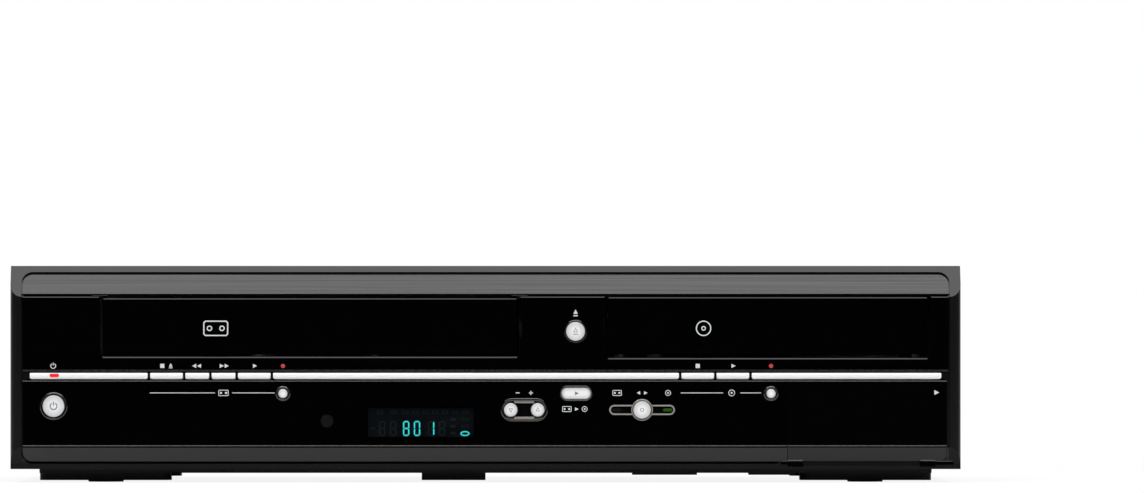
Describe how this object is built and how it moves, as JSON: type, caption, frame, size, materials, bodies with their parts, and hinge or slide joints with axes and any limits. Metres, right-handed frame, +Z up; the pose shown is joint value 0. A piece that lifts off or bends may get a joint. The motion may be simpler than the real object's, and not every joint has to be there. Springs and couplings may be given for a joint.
{
  "type": "disc and cassette recorder deck",
  "caption": "Full-width recorder deck with a disc tray that slides out, a cassette slot behind a swinging flap, an input door, front buttons, a display, and a tape and disc mechanism inside.",
  "frame": {"origin": "on the floor under the middle of the deck", "axes": "+X to the right along the front, +Y to the back, +Z up"},
  "size_m": [0.43, 0.2716, 0.098],
  "materials": {
    "satin_black": "satin moulded black",
    "gloss_black": "high-gloss black",
    "brushed_band": "brushed lengthwise",
    "chrome": "bright chrome",
    "dark_chrome": "dark chrome",
    "pearl_key": "pearl silver lacquer",
    "smoke_window": "smoked clear plastic",
    "lens": "tinted clear plastic",
    "cover_paint": "fine textured black paint",
    "zinc_steel": "zinc-plated sheet",
    "rubber": "matt",
    "screw_black": "black zinc",
    "board": "solder resist",
    "moulded_grey": "moulded plastic",
    "moulded_black": "moulded plastic",
    "nickel": "nickel plate",
    "aluminium": "turned aluminium",
    "acetal": "natural acetal"
  },
  "bodies": {
    "deck": {"bottom_chassis": "zinc_steel", "top_cover": "cover_paint", "rear_panel": "zinc_steel", "front_bezel": "satin_black", "brushed_band": "brushed_band", "upper_fascia": "gloss_black", "lower_fascia": "gloss_black", "chrome_strip": "chrome", "button_rings": "dark_chrome", "display_window": "smoke_window", "indicator_lenses": "lens", "feet": "moulded_black", "foot_pads": "rubber", "cover_screws": "screw_black", "front_board": "board", "tact_switches": "moulded_black", "tube_display": "moulded_black", "av_input_panel": "satin_black", "av_input_jacks": "nickel", "main_board": "board", "power_board": "board", "heat_sink": "aluminium", "scart_sockets": "moulded_black", "phono_jacks": "nickel", "tuner": "zinc_steel", "mains_inlet": "moulded_black", "fan_frame": "moulded_black", "loader_frame": "moulded_grey", "spindle_motor": "zinc_steel", "clamp_bridge": "zinc_steel", "deck_plate": "zinc_steel", "lower_drum": "aluminium"},
    "tray": {"disc_tray": "moulded_black", "tray_front": "gloss_black"},
    "pinion": {"loader_pinion": "acetal"},
    "flap": {"cassette_flap": "gloss_black"},
    "input_door": {"av_door": "gloss_black"},
    "lift": {"lift_plates": "zinc_steel"},
    "holder": {"cassette_holder": "zinc_steel"},
    "drum": {"head_drum": "aluminium"},
    "supply": {"supply_reel": "moulded_black"},
    "takeup": {"takeup_reel": "moulded_black"},
    "capstan_wheel": {"capstan": "zinc_steel"},
    "turntable": {"disc_turntable": "moulded_black"},
    "pickup": {"optical_pickup": "moulded_black"},
    "fan": {"fan_rotor": "moulded_black"},
    "power_button": {"power_button": "pearl_key"},
    "tape_stop_button": {"tape_stop_button": "chrome"},
    "tape_rewind_button": {"tape_rewind_button": "chrome"},
    "tape_forward_button": {"tape_forward_button": "chrome"},
    "tape_play_button": {"tape_play_button": "chrome"},
    "disc_stop_button": {"disc_stop_button": "chrome"},
    "disc_play_button": {"disc_play_button": "chrome"},
    "tape_record_button": {"tape_record_button": "pearl_key"},
    "disc_record_button": {"disc_record_button": "pearl_key"},
    "open_close_button": {"open_close_button": "pearl_key"},
    "channel_down_button": {"channel_down_button": "pearl_key"},
    "channel_up_button": {"channel_up_button": "pearl_key"},
    "dubbing_button": {"dubbing_button": "pearl_key"},
    "select_button": {"select_button": "pearl_key"}
  },
  "joints": [
    {"name": "tray_slide", "type": "slide", "parent": "deck", "child": "tray", "axis": [0, -1, 0], "range_m": [0, 0.135]},
    {"name": "pinion_turn", "type": "hinge", "parent": "deck", "child": "pinion", "pos_m": [0.0766, -0.1209, 0.0607], "axis": [0, 0, 1], "range_deg": [0, 970]},
    {"name": "flap_hinge", "type": "hinge", "parent": "deck", "child": "flap", "pos_m": [-0.07945, -0.1321, 0.0843], "axis": [1, 0, 0], "range_deg": [0, 88], "stiffness_Nm_per_rad": 0.004, "springref_deg": -28.65},
    {"name": "door_hinge", "type": "hinge", "parent": "deck", "child": "input_door", "pos_m": [0.17265, -0.1296, 0.0092], "axis": [1, 0, 0], "range_deg": [0, 90]},
    {"name": "lift_slide", "type": "slide", "parent": "deck", "child": "lift", "axis": [0, 0, -1], "range_m": [0, 0.024]},
    {"name": "holder_slide", "type": "slide", "parent": "lift", "child": "holder", "axis": [0, 1, 0], "range_m": [0, 0.03]},
    {"name": "drum_spin", "type": "hinge", "parent": "deck", "child": "drum", "pos_m": [-0.07945, 0.0559, 0.028], "axis": [0, 0.1045, 0.9945], "continuous": true},
    {"name": "supply_spin", "type": "hinge", "parent": "deck", "child": "supply", "pos_m": [-0.12545, -0.0351, 0.028], "axis": [0, 0, 1], "continuous": true},
    {"name": "takeup_spin", "type": "hinge", "parent": "deck", "child": "takeup", "pos_m": [-0.03345, -0.0351, 0.028], "axis": [0, 0, 1], "continuous": true},
    {"name": "capstan_spin", "type": "hinge", "parent": "deck", "child": "capstan_wheel", "pos_m": [-0.01945, 0.0269, 0.028], "axis": [0, 0, 1], "continuous": true},
    {"name": "turntable_spin", "type": "hinge", "parent": "deck", "child": "turntable", "pos_m": [0.12765, -0.0604, 0.0624], "axis": [0, 0, 1], "continuous": true},
    {"name": "pickup_slide", "type": "slide", "parent": "deck", "child": "pickup", "axis": [0, 1, 0], "range_m": [0, 0.03]},
    {"name": "fan_spin", "type": "hinge", "parent": "deck", "child": "fan", "pos_m": [0.034, 0.1208, 0.0715], "axis": [0, 1, 0], "continuous": true},
    {"name": "power_press", "type": "slide", "parent": "deck", "child": "power_button", "axis": [0, 1, 0], "range_m": [0, 0.0008], "stiffness_N_per_m": 600, "springref_m": -0.0008},
    {"name": "tape_stop_press", "type": "slide", "parent": "deck", "child": "tape_stop_button", "axis": [0, 1, 0], "range_m": [0, 0.0008], "stiffness_N_per_m": 600, "springref_m": -0.0008},
    {"name": "tape_rewind_press", "type": "slide", "parent": "deck", "child": "tape_rewind_button", "axis": [0, 1, 0], "range_m": [0, 0.0008], "stiffness_N_per_m": 600, "springref_m": -0.0008},
    {"name": "tape_forward_press", "type": "slide", "parent": "deck", "child": "tape_forward_button", "axis": [0, 1, 0], "range_m": [0, 0.0008], "stiffness_N_per_m": 600, "springref_m": -0.0008},
    {"name": "tape_play_press", "type": "slide", "parent": "deck", "child": "tape_play_button", "axis": [0, 1, 0], "range_m": [0, 0.0008], "stiffness_N_per_m": 600, "springref_m": -0.0008},
    {"name": "disc_stop_press", "type": "slide", "parent": "deck", "child": "disc_stop_button", "axis": [0, 1, 0], "range_m": [0, 0.0008], "stiffness_N_per_m": 600, "springref_m": -0.0008},
    {"name": "disc_play_press", "type": "slide", "parent": "deck", "child": "disc_play_button", "axis": [0, 1, 0], "range_m": [0, 0.0008], "stiffness_N_per_m": 600, "springref_m": -0.0008},
    {"name": "tape_record_press", "type": "slide", "parent": "deck", "child": "tape_record_button", "axis": [0, 1, 0], "range_m": [0, 0.0008], "stiffness_N_per_m": 600, "springref_m": -0.0008},
    {"name": "disc_record_press", "type": "slide", "parent": "deck", "child": "disc_record_button", "axis": [0, 1, 0], "range_m": [0, 0.0008], "stiffness_N_per_m": 600, "springref_m": -0.0008},
    {"name": "open_close_press", "type": "slide", "parent": "deck", "child": "open_close_button", "axis": [0, 1, 0], "range_m": [0, 0.0008], "stiffness_N_per_m": 600, "springref_m": -0.0008},
    {"name": "channel_down_press", "type": "slide", "parent": "deck", "child": "channel_down_button", "axis": [0, 1, 0], "range_m": [0, 0.0008], "stiffness_N_per_m": 600, "springref_m": -0.0008},
    {"name": "channel_up_press", "type": "slide", "parent": "deck", "child": "channel_up_button", "axis": [0, 1, 0], "range_m": [0, 0.0008], "stiffness_N_per_m": 600, "springref_m": -0.0008},
    {"name": "dubbing_press", "type": "slide", "parent": "deck", "child": "dubbing_button", "axis": [0, 1, 0], "range_m": [0, 0.0008], "stiffness_N_per_m": 600, "springref_m": -0.0008},
    {"name": "select_press", "type": "slide", "parent": "deck", "child": "select_button", "axis": [0, 1, 0], "range_m": [0, 0.0008], "stiffness_N_per_m": 600, "springref_m": -0.0008}
  ],
  "couplings": [
    {"joint": "pinion_turn", "follows": "tray_slide", "rad_per_m": 125}
  ]
}
